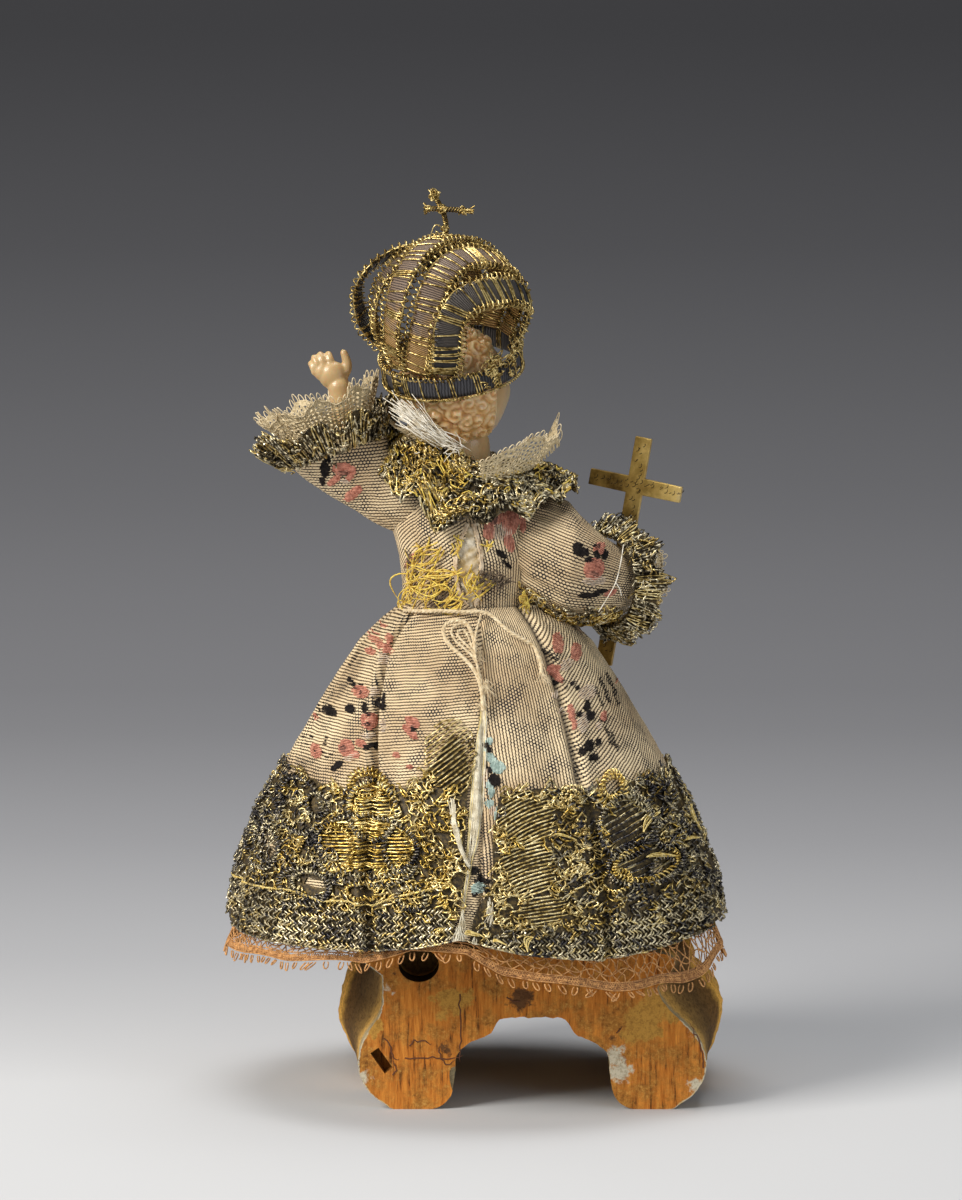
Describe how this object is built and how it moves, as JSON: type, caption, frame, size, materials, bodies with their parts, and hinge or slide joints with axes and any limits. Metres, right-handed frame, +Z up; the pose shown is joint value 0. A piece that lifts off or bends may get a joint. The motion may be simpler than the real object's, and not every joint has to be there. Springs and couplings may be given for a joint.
{
  "type": "child jesus statue",
  "caption": "Dressed ivory child figure with a wound-thread imperial crown, brocade gown with metal lace, raised hand and brass cross, on a carved gilded wooden base.",
  "frame": {"origin": "middle of the outline on the ground, between the two scroll feet and under the skirt", "axes": "+Z up through the head; the figure faces -Y and its back is seen from +Y; +X is the side of its raised hand"},
  "size_m": [0.0966, 0.0884, 0.1713],
  "materials": {
    "wood": "carved softwood, gilded over gesso on the front, bare and worn at the back",
    "ivory": "carved ivory, warm cream with orange-brown staining in the curls",
    "brocade": "ribbed silk brocade with coral and black flowers",
    "gold_lace": "metal-thread lace, gold where bright and dark where tarnished",
    "orange_lace": "orange-brown bobbin lace",
    "white_lace": "white linen net lace",
    "crown_thread": "tarnished silver thread wound over card, with gold wire",
    "gold_wire": "fine gilt wire",
    "brass": "worn sheet brass",
    "linen_cord": "cream twisted linen cord"
  },
  "bodies": {
    "root": {"carved_base": "wood", "child_figure": "ivory", "gown": "brocade", "hem_gold_lace": "gold_lace", "petticoat_lace": "orange_lace", "collar_gold_lace": "gold_lace", "neck_lace_right": "white_lace", "neck_lace_left": "white_lace", "raised_cuff_gold_lace": "gold_lace", "raised_cuff_white_lace": "white_lace", "lowered_cuff_gold_lace": "gold_lace", "lowered_cuff_white_lace": "white_lace", "crown_band": "crown_thread", "crown_strip_1": "crown_thread", "crown_strip_2": "crown_thread", "crown_strip_3": "crown_thread", "crown_strip_4": "crown_thread", "crown_strip_5": "crown_thread", "crown_cross": "gold_wire", "hand_cross": "brass", "waist_tie": "linen_cord", "tie_loop": "linen_cord"}
  },
  "joints": []
}
